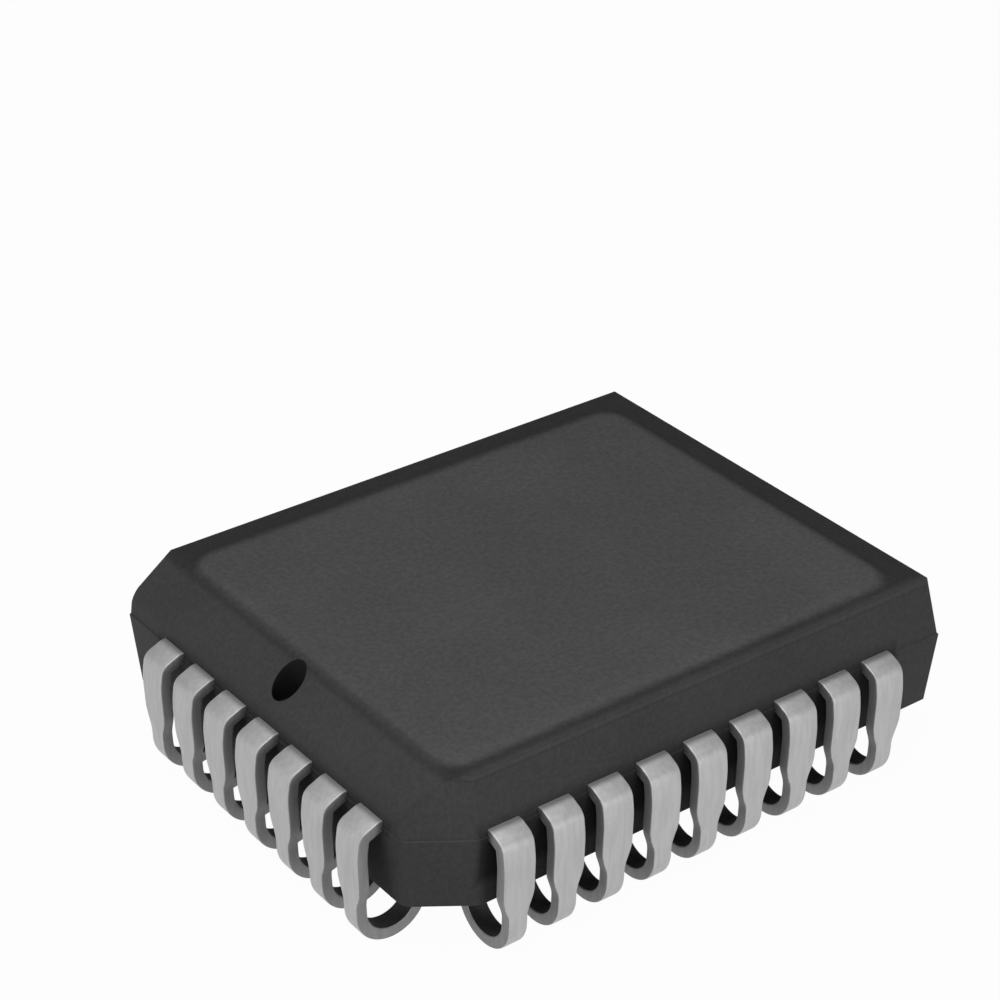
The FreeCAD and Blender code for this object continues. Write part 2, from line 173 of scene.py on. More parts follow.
shifted = node(tree, "ShaderNodeVectorMath", LESS, {0: position, 1: metres(PATCH_MIDDLE)})
mirrored = node(tree, "ShaderNodeVectorMath", SIZE_OF, {0: shifted})
outside = node(tree, "ShaderNodeVectorMath", LESS, {0: mirrored, 1: metres(PATCH_HALF)})
clipped = node(tree, "ShaderNodeVectorMath", LARGER, {0: outside, 1: (0, 0, 0)})
reach = node(tree, "ShaderNodeVectorMath", LENGTH_OF, {0: clipped})
on_plateau = node(tree, "ShaderNodeMapRange", SMOOTH,
                  {0: reach, 1: PATCH_EDGE[0] * MM, 2: PATCH_EDGE[1] * MM, 3: 1, 4: 0})
print("plateau zone", [2 * (c + PATCH_EDGE[0]) for c in PATCH_HALF[:2]], "mm")

# %% [markdown]
# The border is the flat strip round the plateau: high on the body, behind the rim of the front side,
# and weaker towards the sloped pin-1 side. Three soft steps along Z, Y and X are multiplied.

# %% Border zone
BORDER_Z, BORDER_Y, BORDER_X = (4.27, 4.4), (-5.5, -5.2), (-6.1, -5.8)
NEAR_SLOPE = 0.85

high = node(tree, "ShaderNodeMapRange", SMOOTH, {0: axes["Z"], 1: BORDER_Z[0] * MM, 2: BORDER_Z[1] * MM})
behind_rim = node(tree, "ShaderNodeMapRange", SMOOTH,
                  {0: axes["Y"], 1: BORDER_Y[0] * MM, 2: BORDER_Y[1] * MM})
past_slope = node(tree, "ShaderNodeMapRange", SMOOTH,
                  {0: axes["X"], 1: BORDER_X[0] * MM, 2: BORDER_X[1] * MM, 3: NEAR_SLOPE})
on_border = node(tree, "ShaderNodeMath", TIMES, {0: high, 1: behind_rim})
on_border = node(tree, "ShaderNodeMath", TIMES, {0: on_border, 1: past_slope})
print("border above", BORDER_Z[0], "mm")

# %% [markdown]
# The rounding of the rim is drawn a little lighter than the walls, as a painted highlight. It is a
# thin band in height, and it leaves out the slope, because the slope passes the same heights.

# %% Painted highlight on the rim
RIM_FOOT, RIM_TOP, OFF_SLOPE = (4.335, 4.375), (4.42, 4.455), (-6.0, -5.85)
RIM_HIGHLIGHT_GAIN = 1.15

foot_of_rim = node(tree, "ShaderNodeMapRange", SMOOTH,
                   {0: axes["Z"], 1: RIM_FOOT[0] * MM, 2: RIM_FOOT[1] * MM})
top_of_rim = node(tree, "ShaderNodeMapRange", SMOOTH,
                  {0: axes["Z"], 1: RIM_TOP[0] * MM, 2: RIM_TOP[1] * MM, 3: 1, 4: 0})
off_slope = node(tree, "ShaderNodeMapRange", SMOOTH,
                 {0: axes["X"], 1: OFF_SLOPE[0] * MM, 2: OFF_SLOPE[1] * MM})
rim_highlight_mask = node(tree, "ShaderNodeMath", TIMES, {0: foot_of_rim, 1: top_of_rim})
rim_highlight_mask = node(tree, "ShaderNodeMath", TIMES, {0: rim_highlight_mask, 1: off_slope})
# painted highlight: the rounding of the rim is drawn lighter than the walls
painted_rim_highlight = node(tree, "ShaderNodeMapRange", {}, {0: rim_highlight_mask, 3: 1, 4: RIM_HIGHLIGHT_GAIN})
print("rim", RIM_HIGHLIGHT_GAIN, "times as light")

# %% [markdown]
# Just under the rim, where its rounding meets the wall, a fine dark line of painted shade is drawn. It
# is drawn by the distance from one height, up and down alike, and it leaves out the slope as well.

# %% Painted shade under the rim
LINE_HEIGHT, LINE_EDGE, LINE_SHADE = 4.31, (0.006, 0.03), 0.88

from_line = node(tree, "ShaderNodeMath", LESS, {0: axes["Z"], 1: LINE_HEIGHT * MM})
from_line = node(tree, "ShaderNodeMath", SIZE_OF, {0: from_line})
crease_shade_mask = node(tree, "ShaderNodeMapRange", SMOOTH,
                 {0: from_line, 1: LINE_EDGE[0] * MM, 2: LINE_EDGE[1] * MM, 3: 1, 4: 0})
crease_shade_mask = node(tree, "ShaderNodeMath", TIMES, {0: crease_shade_mask, 1: off_slope})
# painted shade along the crease where the rim's rounding meets the wall
painted_crease_shade = node(tree, "ShaderNodeMapRange", {}, {0: crease_shade_mask, 3: 1, 4: LINE_SHADE})
print("line at", LINE_HEIGHT, "mm")

# %% [markdown]
# The blind dimple that marks pin 1 is moulded by a steel pin. Its inside gets painted shade: all
# points within its radius of its centre line are drawn darker.

# %% Dimple zone
DIMPLE_EDGE = (DIMPLE_RADIUS - 0.001, DIMPLE_RADIUS + 0.009)

from_pin1 = node(tree, "ShaderNodeVectorMath", {"operation": "MULTIPLY_ADD"},
                 {0: position, 1: (1, 1, 0), 2: (-PIN1_X * MM, 0, 0)})
reach = node(tree, "ShaderNodeVectorMath", LENGTH_OF, {0: from_pin1})
dimple_shade_mask = node(tree, "ShaderNodeMapRange", SMOOTH,
                 {0: reach, 1: DIMPLE_EDGE[0] * MM, 2: DIMPLE_EDGE[1] * MM, 3: 1, 4: 0})
print("dimple", 2 * DIMPLE_RADIUS, "mm wide")

# %% [markdown]
# The walls are darker along the rows of leads: painted shade from the leads in front of them. A band
# is the larger of two soft steps along Z, one falling and one rising, and it counts only within
# the length of its row: X limits the rows of the long sides and Y those of the short sides. Each has
# the half length of its row, the heights where it falls and rises, and the share of light it keeps.

# %% Painted shade behind the leads
ROW_BANDS = (("X", 5.65, (1.7, 2.1), (2.85, 3.5), 0.4), ("Y", 4.4, (2.85, 2.95), (2.98, 3.45), 0.62))
ROW_END = 0.15

row_shade_bands = []
for axis, row, falls, rises, least in ROW_BANDS:
    along = node(tree, "ShaderNodeMath", SIZE_OF, {0: axes[axis]})
    beyond = node(tree, "ShaderNodeMapRange", SMOOTH,
                  {0: along, 1: (row - ROW_END) * MM, 2: (row + ROW_END) * MM})
    fall = node(tree, "ShaderNodeMapRange", SMOOTH,
                {0: axes["Z"], 1: falls[0] * MM, 2: falls[1] * MM, 3: 1, 4: least})
    rise = node(tree, "ShaderNodeMapRange", SMOOTH,
                {0: axes["Z"], 1: rises[0] * MM, 2: rises[1] * MM, 3: least, 4: 1})
    # painted shade on the walls between and above the leads
    band = node(tree, "ShaderNodeMath", LARGER, {0: fall, 1: rise})
    row_shade_bands.append(node(tree, "ShaderNodeMath", LARGER, {0: beyond, 1: band}))
painted_row_shade = node(tree, "ShaderNodeMath", TIMES, {0: row_shade_bands[0], 1: row_shade_bands[1]})
print("row_shade_bands", len(row_shade_bands))

# %% [markdown]
# ## Mould compound: grain and colour
# The real speckle is silica grains of 0.03 mm and less, too fine to show here, so it is drawn about
# four times as coarse. It varies the tone a little everywhere and lifts the surface by a few
# thousandths of a millimetre. A second, very wide noise keeps the large faces from being one even grey.
# Filled epoxy is dull: high roughness and little specular reflection, so it looks like slate.

# %% Colours of the compound
GRAIN, GRAIN_SPREAD = 0.11, (0.3, 0.72)

grain = node(tree, "ShaderNodeTexNoise", {},
             {"Vector": position, "Scale": 1 / (GRAIN * MM), "Detail": 3, "Roughness": 0.65})
speckle = node(tree, "ShaderNodeMapRange", SMOOTH, {0: grain, 1: GRAIN_SPREAD[0], 2: GRAIN_SPREAD[1]})
sides = node(tree, "ShaderNodeMix", COLOUR, {"Factor": speckle, "A": "#3b3b3b", "B": "#414141"})
border = node(tree, "ShaderNodeMix", COLOUR, {"Factor": speckle, "A": "#2d2d2d", "B": "#333333"})
plateau = node(tree, "ShaderNodeMix", COLOUR, {"Factor": speckle, "A": "#454545", "B": "#4e4e4e"})
tone = node(tree, "ShaderNodeMix", COLOUR, {"Factor": on_border, "A": sides, "B": border})
tone = node(tree, "ShaderNodeMix", COLOUR, {"Factor": on_plateau, "A": tone, "B": plateau})
# painted shade inside the dimple
tone = node(tree, "ShaderNodeMix", COLOUR, {"Factor": dimple_shade_mask, "A": tone, "B": "#1f1f1f"})
print("grain drawn", GRAIN, "mm wide")

# %% [markdown]
# The tone is multiplied by all that lightens or darkens it: the wide noise, the painted shade of the
# bands behind the leads, the painted highlight on the rim and the painted shade of the line under it.
# The plateau is rougher than the rest, as its tool is.

# %% Finish of the compound
CLOUD, CLOUD_SPREAD, CLOUD_LEVELS = 2.9, (0.3, 0.7), (0.95, 1.05)
SIDE_ROUGHNESS, PLATEAU_ROUGHNESS, GRAIN_LIFT = 0.6, 0.8, 0.006

cloud = node(tree, "ShaderNodeTexNoise", {},
             {"Vector": position, "Scale": 1 / (CLOUD * MM), "Detail": 3, "Roughness": 0.5})
level = node(tree, "ShaderNodeMapRange", SMOOTH,
             {0: cloud, 1: CLOUD_SPREAD[0], 2: CLOUD_SPREAD[1], 3: CLOUD_LEVELS[0], 4: CLOUD_LEVELS[1]})
# painted shade and painted highlight are multiplied into the tone here
for part in (painted_row_shade, painted_rim_highlight, painted_crease_shade):
    level = node(tree, "ShaderNodeMath", TIMES, {0: level, 1: part})
shade = node(tree, "ShaderNodeCombineColor", {}, {0: level, 1: level, 2: level})
tone = node(tree, "ShaderNodeMix", DARKEN, {"Factor": 1.0, "A": tone, "B": shade})
dullness = node(tree, "ShaderNodeMapRange", {}, {0: on_plateau, 3: SIDE_ROUGHNESS, 4: PLATEAU_ROUGHNESS})
relief = node(tree, "ShaderNodeBump", {}, {"Strength": 0.3, "Distance": GRAIN_LIFT * MM, "Height": grain})
fill(tree, shader, {"Base Color": tone, "Roughness": dullness, "Normal": relief, "Specular IOR Level": 0.07})
print(compound.name, len(tree.nodes), "nodes")

# %% [markdown]
# ## Tin plate on the leads: painted shade at the wall
# Where a lead leaves the body, painted shade darkens it and fades over the first 0.17 mm. A lead's
# distance from its wall is the larger of two, one for the long and one for the short sides, and the
# shade ends below the shoulder, because the J comes back under the body. It is kept as a function,
# because all three tins need it.

# %% Painted shade at the wall
EXIT_SHADE_LEVEL, EXIT_SHADE_REACH, EXIT_SHADE_HEIGHT = 0.6, 0.17, (2.88, 2.98)


def painted_exit_shade(tree, position):
    """A grey of painted shade to multiply the tin by, darkest where the lead leaves its wall."""
    axes = node(tree, "ShaderNodeSeparateXYZ", {}, {0: position}).node.outputs
    past = []
    for axis, wall in (("X", WALL_X), ("Y", WALL_Y)):
        along = node(tree, "ShaderNodeMath", SIZE_OF, {0: axes[axis]})
        past.append(node(tree, "ShaderNodeMath", LESS, {0: along, 1: wall * MM}))
    past_wall = node(tree, "ShaderNodeMath", LARGER, {0: past[0], 1: past[1]})
    outside = node(tree, "ShaderNodeMapRange", SMOOTH,
                   {0: past_wall, 1: 0, 2: EXIT_SHADE_REACH * MM, 3: EXIT_SHADE_LEVEL, 4: 1})
    below = node(tree, "ShaderNodeMapRange", SMOOTH,
                 {0: axes["Z"], 1: EXIT_SHADE_HEIGHT[0] * MM, 2: EXIT_SHADE_HEIGHT[1] * MM, 3: 1, 4: EXIT_SHADE_LEVEL})
    unshaded = node(tree, "ShaderNodeMath", LARGER, {0: outside, 1: below})
    return node(tree, "ShaderNodeCombineColor", {}, {0: unshaded, 1: unshaded, 2: unshaded})


# %% [markdown]
# ## Tin plate on the leads: two finishes and painted shade
# The leads are copper strip with about 0.01 mm of matt tin. Rolling and bending leave faint marks
# along the strip, nine to the millimetre, drawn as a noise stretched about eight times along Z. The
# tin's crystals, which roughen the reflections, are a few thousandths of a millimetre wide and too
# fine to show, so they are drawn at 22 to the millimetre.
# The faces and the sheared edges are two finishes of the same metal: the punch leaves the edges
# greyer. The hollow of the J gets the third tin, a little rougher and drawn much darker as painted
# shade, because the body hides the inside of the bend from light.

# %% Two finishes of tin and its painted shade
# the third tin is painted shade in the hollow of the J
TINS = (("matt_tin_plate", "#b8b8b8", "#c1c1c1", 0.55),
        ("matt_tin_on_sheared_edge", "#8a8a8a", "#929292", 0.6),
        ("tin_with_painted_shade_inside_bend", "#4a4a4a", "#525252", 0.7))
MARKS_PER_MM, MARK_STRETCH, MARK_SPREAD = 9, 0.12, (0.3, 0.7)
CRYSTALS_PER_MM, CRYSTAL_SPREAD, CRYSTAL_LIFT = 22, (0.25, 0.75), 0.003

tins = []
for name, dark, light, roughness in TINS:
    tin, tree, shader = new_material(name)
    position = tree.nodes.new("ShaderNodeTexCoord").outputs["Object"]
    stretched = node(tree, "ShaderNodeMapping", {}, {"Vector": position, "Scale": (1, 1, MARK_STRETCH)})
    marks = node(tree, "ShaderNodeTexNoise", {},
                 {"Vector": stretched, "Scale": MARKS_PER_MM / MM, "Detail": 2, "Roughness": 0.55})
    marks = node(tree, "ShaderNodeMapRange", SMOOTH, {0: marks, 1: MARK_SPREAD[0], 2: MARK_SPREAD[1]})
    tone = node(tree, "ShaderNodeMix", COLOUR, {"Factor": marks, "A": dark, "B": light})
    exit_shade = painted_exit_shade(tree, position)
    # painted shade where the lead leaves the body
    tone = node(tree, "ShaderNodeMix", DARKEN, {"Factor": 1.0, "A": tone, "B": exit_shade})

    crystals = node(tree, "ShaderNodeTexNoise", {},
                    {"Vector": position, "Scale": CRYSTALS_PER_MM / MM, "Detail": 2, "Roughness": 0.6})
    dullness = node(tree, "ShaderNodeMapRange", SMOOTH,
                    {0: crystals, 1: CRYSTAL_SPREAD[0], 2: CRYSTAL_SPREAD[1],
                     3: roughness, 4: roughness + 0.1})
    relief = node(tree, "ShaderNodeBump", {},
                  {"Strength": 0.2, "Distance": CRYSTAL_LIFT * MM, "Height": crystals})
    fill(tree, shader, {"Base Color": tone, "Roughness": dullness, "Normal": relief, "Metallic": 0.75})
    tins.append(tin)
print([tin.name for tin in tins])

# %% [markdown]
# ## Finishes inside the body
# A cut through the chip would show silver-plated strip under the die, silver-filled glue, a polished
# die with its glassy cover, and drawn gold wires. Their CAD shapes are right as they are, so those
# nodes keep their meshes and only get a finish: a fine noise between two tones of the real colour.

# %% Inner finishes
INNER = (("silver_plated_strip", "#b9b7b2", "#cac8c3", 0.35, 1.0, ("die_paddle",)),
         ("silver_filled_adhesive", "#8c8a84", "#a09e98", 0.6, 0.2, ("die_attach",)),
         ("passivated_silicon", "#34363f", "#40434e", 0.2, 0.3, ("silicon_die",)),
         ("drawn_gold", "#c9a24a", "#d8b45a", 0.25, 1.0,
          ("bond_wires_front", "bond_wires_right", "bond_wires_back", "bond_wires_pin1")))
INNER_MARKS_PER_MM = 8

for name, dark, light, roughness, metallic, owners in INNER:
    finish, tree, shader = new_material(name)
    position = tree.nodes.new("ShaderNodeTexCoord").outputs["Object"]
    marks = node(tree, "ShaderNodeTexNoise", {},
                 {"Vector": position, "Scale": INNER_MARKS_PER_MM / MM, "Detail": 2})
    marks = node(tree, "ShaderNodeMapRange", SMOOTH, {0: marks, 1: MARK_SPREAD[0], 2: MARK_SPREAD[1]})
    tone = node(tree, "ShaderNodeMix", COLOUR, {"Factor": marks, "A": dark, "B": light})
    dullness = node(tree, "ShaderNodeMapRange", {}, {0: marks, 3: roughness, 4: roughness + 0.12})
    fill(tree, shader, {"Base Color": tone, "Roughness": dullness, "Metallic": metallic})
    for owner in owners:
        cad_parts[owner].data.materials.clear()
        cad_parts[owner].data.materials.append(finish)
    print(name, "on", ", ".join(owners))

# %% [markdown]
# ## Working in edit mode from a script
# The operators act on whatever is selected. So each step first selects faces by their middle and the
# way they look, or edges by their two ends, and then calls the operator. Places are in millimetres.
# A face looks a certain way if FACING of its normal points there, and TINY is the slack of a place.

# %% Edit-mode helpers
FACING, TINY = 0.9, 0.001


def make_active(obj):
    bpy.ops.object.select_all(action="DESELECT")
    obj.select_set(True)
    bpy.context.view_layer.objects.active = obj


def add_block(low, high):
    """A cube primitive at its size and place, open in edit mode."""
    bpy.ops.object.select_all(action="DESELECT")
    middle = metres((a + b) / 2 for a, b in zip(low, high))
    size = metres(b - a for a, b in zip(low, high))
    bpy.ops.mesh.primitive_cube_add(size=1, location=middle, scale=size)
    bpy.ops.object.transform_apply(location=True, rotation=True, scale=True)
    bpy.ops.object.mode_set(mode="EDIT")
    return bpy.context.active_object


def select_faces(test):
    """Select the faces whose middle and normal pass the test."""
    bpy.ops.mesh.select_all(action="DESELECT")
    bpy.ops.mesh.select_mode(type="FACE")
    mesh = bpy.context.active_object.data
    for face in bmesh.from_edit_mesh(mesh).faces:
        face.select_set(test(face.calc_center_median() / MM, face.normal))
    bmesh.update_edit_mesh(mesh)


def select_edges(test):
    """Select the edges whose two ends pass the test."""
    bpy.ops.mesh.select_all(action="DESELECT")
    bpy.ops.mesh.select_mode(type="EDGE")
    mesh = bpy.context.active_object.data
    for edge in bmesh.from_edit_mesh(mesh).edges:
        edge.select_set(test(edge.verts[0].co / MM, edge.verts[1].co / MM))
    bmesh.update_edit_mesh(mesh)


def cut_away(point, outward):
    """Cut the whole block with a plane and close it, as the bisect tool does by hand."""
    bpy.ops.mesh.select_all(action="SELECT")
    bpy.ops.mesh.bisect(plane_co=metres(point), plane_no=outward, use_fill=True, clear_outer=True)


def round_selected(radius, segments):
    bpy.ops.mesh.bevel(offset_type="OFFSET", offset=radius * MM, segments=segments, profile=0.5,
                       affect="EDGES", clamp_overlap=True)


def leave_edit_mode(smooth_angle):
    """Back to object mode, with soft shading wherever the faces meet at less than the angle."""
    bpy.ops.object.mode_set(mode="OBJECT")
    bpy.ops.object.shade_smooth_by_angle(angle=math.radians(smooth_angle))


# %% [markdown]
# ## Moulded body: the walls and their corners
# Each half of the mould has draft, so that the part comes out of it: walls lean inwards away from
# the parting line. One corner, which marks the part's direction, is cut off. The cut's own edges are
# round in the mould and the square corners nearly sharp, so a test has to tell them apart.

# %% Tools for both halves
CUT_X, CUT_Y, CUT_ROUND, CORNER_ROUND = 1.29, 0.9, 0.16, 0.04
BODY_SMOOTH, SHORTEST_WALL_EDGE = 35, 0.05

cut_length = math.hypot(CUT_X, CUT_Y)
cut_normal = (-CUT_Y / cut_length, -CUT_X / cut_length)
print("cut corner", round(cut_length, 2), "mm long")


def draft(degrees, tall):
    """How far a wall of this height leans in."""
    return tall * math.tan(math.radians(degrees))


def climbing(a, b, at_cut):
    """An edge between two walls: one of the cut corner's, or else one of a square corner's."""
    middle = (a + b) / 2
    return abs(a.z - b.z) >= SHORTEST_WALL_EDGE and (middle.x < 0 and middle.y < 0) == at_cut


def round_corners():
    select_edges(lambda a, b: climbing(a, b, True))
    round_selected(CUT_ROUND, segments=5)
    select_edges(lambda a, b: climbing(a, b, False))
    round_selected(CORNER_ROUND, segments=3)


# %% [markdown]
# ## Moulded body: lower half
# The body could be one block with a groove, but two halves keep the hair-wide step at the parting as
# the mould makes it. A block is added at the size of the parting outline, and its bottom face is
# scaled down for the draft. The corner is cut off by one bisect with a leaning plane. The lip
# gets a very small rounding that catches the light as the parting line does.

# %% Lower half
LOWER_DRAFT, CUT_DRAFT, LIP_ROUND = 4.5, 6.1, 0.026

lower = add_block((-WALL_X, -WALL_Y, BODY_BOTTOM), (WALL_X, WALL_Y, PARTING))
inset = draft(LOWER_DRAFT, PARTING - BODY_BOTTOM)
select_faces(lambda middle, normal: normal.z < -FACING)
bpy.ops.transform.resize(value=((WALL_X - inset) / WALL_X, (WALL_Y - inset) / WALL_Y, 1),
                         center_override=(0, 0, BODY_BOTTOM * MM))
cut_away((-WALL_X, -(WALL_Y - CUT_Y), PARTING), (*cut_normal, -draft(CUT_DRAFT, 1)))
round_corners()
select_edges(lambda a, b: min(a.z, b.z) > PARTING - TINY)
round_selected(LIP_ROUND, segments=3)
leave_edit_mode(BODY_SMOOTH)
print("lower half", len(lower.data.polygons), "faces")

# %% [markdown]
# ## Moulded body: upper half
# The block reaches a little into the lower half, so that the two can be joined. The upper walls lean
# more, and the pin-1 wall less, because most of it is cut by a long slope of 42 degrees. The top face
# is scaled and shifted, two bisects cut the corner and the slope, and then come the roundings: the
# foot of the slope rolls gently into the wall below it, the corners follow, and last the rim, which
# is soft on every side but the slope's.

# %% Upper half
UPPER_DRAFT, PIN1_DRAFT, SLOPE = 9.5, 2, math.radians(42)
SLOPE_FOOT_ROUND, RIM_ROUND, OVERLAP = 0.25, 0.17, 0.05
UPPER_FOOT, TALL = PARTING - OVERLAP, BODY_TOP - PARTING

inset, pin1_inset = draft(UPPER_DRAFT, TALL), draft(PIN1_DRAFT, TALL)
upper = add_block((-HALF_X, -HALF_Y, UPPER_FOOT), (HALF_X, HALF_Y, BODY_TOP))
select_faces(lambda middle, normal: normal.z > FACING)
bpy.ops.transform.resize(value=(1 - (inset + pin1_inset) / (2 * HALF_X), 1 - inset / HALF_Y, 1),
                         center_override=(0, 0, BODY_TOP * MM))
bpy.ops.transform.translate(value=((pin1_inset - inset) / 2 * MM, 0, 0))
cut_away((-HALF_X, -(HALF_Y - CUT_Y), UPPER_FOOT), (*cut_normal, inset / (BODY_TOP - UPPER_FOOT)))
cut_away((SLOPE_TOP, 0, BODY_TOP), (-math.sin(SLOPE), 0, math.cos(SLOPE)))
select_edges(lambda a, b: abs(a.z - b.z) < TINY and PARTING < a.z < BODY_TOP - TINY)
round_selected(SLOPE_FOOT_ROUND, segments=8)
round_corners()
select_edges(lambda a, b: min(a.z, b.z) > BODY_TOP - TINY and max(a.x, b.x) > SLOPE_TOP + TINY)
round_selected(RIM_ROUND, segments=8)
leave_edit_mode(BODY_SMOOTH)
print("upper half", len(upper.data.polygons), "faces")

# %% [markdown]
# ## Moulded body: plateau
# The plateau stands 0.06 mm above the border, with a soft edge. It starts as a block whose top lies
# just under the border. Its upright edges are rounded, and then its top face is inset five times, each
# time a little further up, along a half wave. A bevel would leave a corner where the flank starts.

# %% Plateau
PLATEAU_LOW, PLATEAU_HIGH, PLATEAU_ROOT, PLATEAU_CORNER = (-5.96, -5.08), (6.3, 5.08), 0.3, 0.7
SOFT_EDGE, SUNK, RISE_SHARES = 0.3, 0.002, (0, 0.15, 0.35, 0.6, 0.85, 1)

plateau_block = add_block((*PLATEAU_LOW, BODY_TOP - PLATEAU_ROOT), (*PLATEAU_HIGH, BODY_TOP - SUNK))
select_edges(lambda a, b: abs(a.z - b.z) > SHORTEST_WALL_EDGE)
round_selected(PLATEAU_CORNER, segments=8)
select_faces(lambda middle, normal: normal.z > FACING)
heights = [(PLATEAU_TOP - BODY_TOP) * (1 - math.cos(math.pi * share)) / 2 for share in RISE_SHARES]
heights[0] = -SUNK
for start, end, low, high in zip(RISE_SHARES, RISE_SHARES[1:], heights, heights[1:]):
    bpy.ops.mesh.inset(thickness=(end - start) * SOFT_EDGE * MM, depth=(high - low) * MM)
leave_edit_mode(BODY_SMOOTH)
print("plateau", [round(d / MM, 3) for d in plateau_block.dimensions], "mm")

# %% [markdown]
# ## Moulded body: dimple and joining
# The dimple is a plain round cutter, as the pin in the mould is. Booleans join the plateau, cut the
# dimple and join the halves. Their outlines share no edges, so merging by hand would take a cut for
# every crossing. The upper half takes in the others, so it becomes the finished body.

# %% Join the body
CUTTER_TALL = 2


def boolean(obj, other, operation):
    modifier = obj.modifiers.new("joint", "BOOLEAN")
    modifier.object, modifier.operation, modifier.solver = other, operation, "EXACT"
    bpy.context.view_layer.objects.active = obj
    bpy.ops.object.modifier_apply(modifier=modifier.name)
    bpy.data.objects.remove(other)


bpy.ops.object.select_all(action="DESELECT")
bpy.ops.mesh.primitive_cylinder_add(vertices=64, radius=DIMPLE_RADIUS * MM, depth=CUTTER_TALL * MM,
                                    location=metres((PIN1_X, 0, DIMPLE_FLOOR + CUTTER_TALL / 2)))
dimple = bpy.context.active_object
body = upper
boolean(body, plateau_block, "UNION")
boolean(body, dimple, "DIFFERENCE")
boolean(body, lower, "UNION")
make_active(body)
bpy.ops.object.shade_smooth_by_angle(angle=math.radians(BODY_SMOOTH))
body.name = body.data.name = "moulded_body_shell"
body.data.materials.clear()
body.data.materials.append(compound)
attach(body, "root")
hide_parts("moulded_body")
print(body.name, [round(d / MM, 3) for d in body.dimensions], "mm,", len(body.data.polygons), "faces")

# %% [markdown]
# ## Leads: one J-bent strip
# A trim-and-form press bends each lead from flat strip: it leaves the body level, turns down
# over a slanted shoulder, runs down as a wide leg, narrows, and rolls under the body into a J.
# A profile swept along a curve would do for an even strip, but this one narrows on its way. So the
# script follows the press: it starts with a short stub, spins its end face for every bend and
# extrudes it for every straight run. The end face stays selected all the way, so the strip grows
# from it. Its angle is that of the outer face's normal: 90 at the stub, 0 on an upright leg.

# %% Lead tools
def spin_end(strip, radius, end, steps):
    """Bend the strip's end, round an outer radius, until its outer face points to the angle end."""
    out, z, angle = strip
    end = math.radians(end)
    centre_out, centre_z = out - radius * math.cos(angle), z - radius * math.sin(angle)
    bpy.ops.mesh.spin(steps=steps, angle=end - angle, axis=(1, 0, 0),
                      center=metres((0, -centre_out, centre_z)))
    return centre_out + radius * math.cos(end), centre_z + radius * math.sin(end), end


def extrude_end(strip, length):
    """Lengthen the strip's end along its own direction."""
    out, z, angle = strip
    step_out, step_z = length * math.sin(angle), -length * math.cos(angle)
    bpy.ops.mesh.extrude_region_move(TRANSFORM_OT_translate={"value": metres((0, -step_out, step_z))})
    return out + step_out, z + step_z, angle


# %% [markdown]
# The leg narrows softly between two heights. The narrowing is done on the way down, by scaling the
# end face after each short extrusion. The same function bends the leads of the long sides and those
# of the short sides, which reach 0.08 mm further: the slanted run takes up the difference.

# %% Bend the strip
SLANT, SPLAY, LEAN, TIP_LEAN = 24, 8, 2.3, 4
SHOULDER_RADIUS, LEG_RADIUS, FOOT_RADIUS = 0.32, 2.27, 0.88
STUB, SPLAY_RUN, TIP_TOP = 0.06, 0.15, 1.2
TAPER_TOP, TAPER_BOTTOM, LEG_STEPS = 1.72, 1.05, 20
SAME_PLACE = 0.0001


def leg_width(z):
    share = min(1, max(0, (TAPER_TOP - z) / (TAPER_TOP - TAPER_BOTTOM)))
    return WIDE - (WIDE - NARROW) * share * share * (3 - 2 * share)


def bend_strip(wall, offset):
    """Grow the strip from a stub in the wall to the tip of the J; it stays open in edit mode."""
    slant, splay, lean, tip_lean = (math.radians(angle) for angle in (SLANT, SPLAY, LEAN, TIP_LEAN))
    slant_run = (offset - SHOULDER_RADIUS * math.cos(splay) - SPLAY_RUN * math.sin(splay)
                 - LEG_RADIUS * (1 - math.cos(splay))) / math.cos(slant)
    lead = add_block((-WIDE / 2, -wall, LEAD_UNDER), (WIDE / 2, -(wall - STUB), LEAD_TOP))
    select_faces(lambda middle, normal: normal.y < -FACING)
    strip = spin_end((wall, LEAD_TOP, math.radians(90)), SHOULDER_RADIUS, 90 - SLANT, steps=5)
    strip = extrude_end(strip, slant_run)
    strip = spin_end(strip, SHOULDER_RADIUS, SPLAY, steps=9)
    strip = extrude_end(strip, SPLAY_RUN)
    strip = spin_end(strip, LEG_RADIUS, -LEAN, steps=5)
    leg_length = (strip[1] - FOOT_RADIUS * (1 - math.sin(lean))) / math.cos(lean)
    width = WIDE
    for _ in range(LEG_STEPS):
        strip = extrude_end(strip, leg_length / LEG_STEPS)
        bpy.ops.transform.resize(value=(leg_width(strip[1]) / width, 1, 1),
                                 center_override=metres((0, -strip[0], strip[1])))
        width = leg_width(strip[1])
    strip = spin_end(strip, FOOT_RADIUS, -180 - TIP_LEAN, steps=34)
    extrude_end(strip, (TIP_TOP - FOOT_RADIUS * (1 + math.sin(tip_lean))) / math.cos(tip_lean))
    bpy.ops.mesh.select_all(action="SELECT")
    bpy.ops.mesh.remove_doubles(threshold=SAME_PLACE * MM)
    bpy.ops.mesh.normals_make_consistent(inside=False)
    return lead


# %% [markdown]
# Once the strip is formed, every sharp edge but those of the stub's inner end gets a rounding of
# 0.035 mm, as matt plating leaves it. That end stays sharp, because the finger grows on from there.
# Its edges lie further in than STUB_EDGE, and STUB_FLOOR tells them from those of the tip of the J,
# which comes back as far.

# %% Round the strip
EDGE_ROUND, SHARP, LEAD_SMOOTH = 0.035, 60, 40
STUB_EDGE, STUB_FLOOR = STUB - 0.005, LEAD_UNDER - 0.01


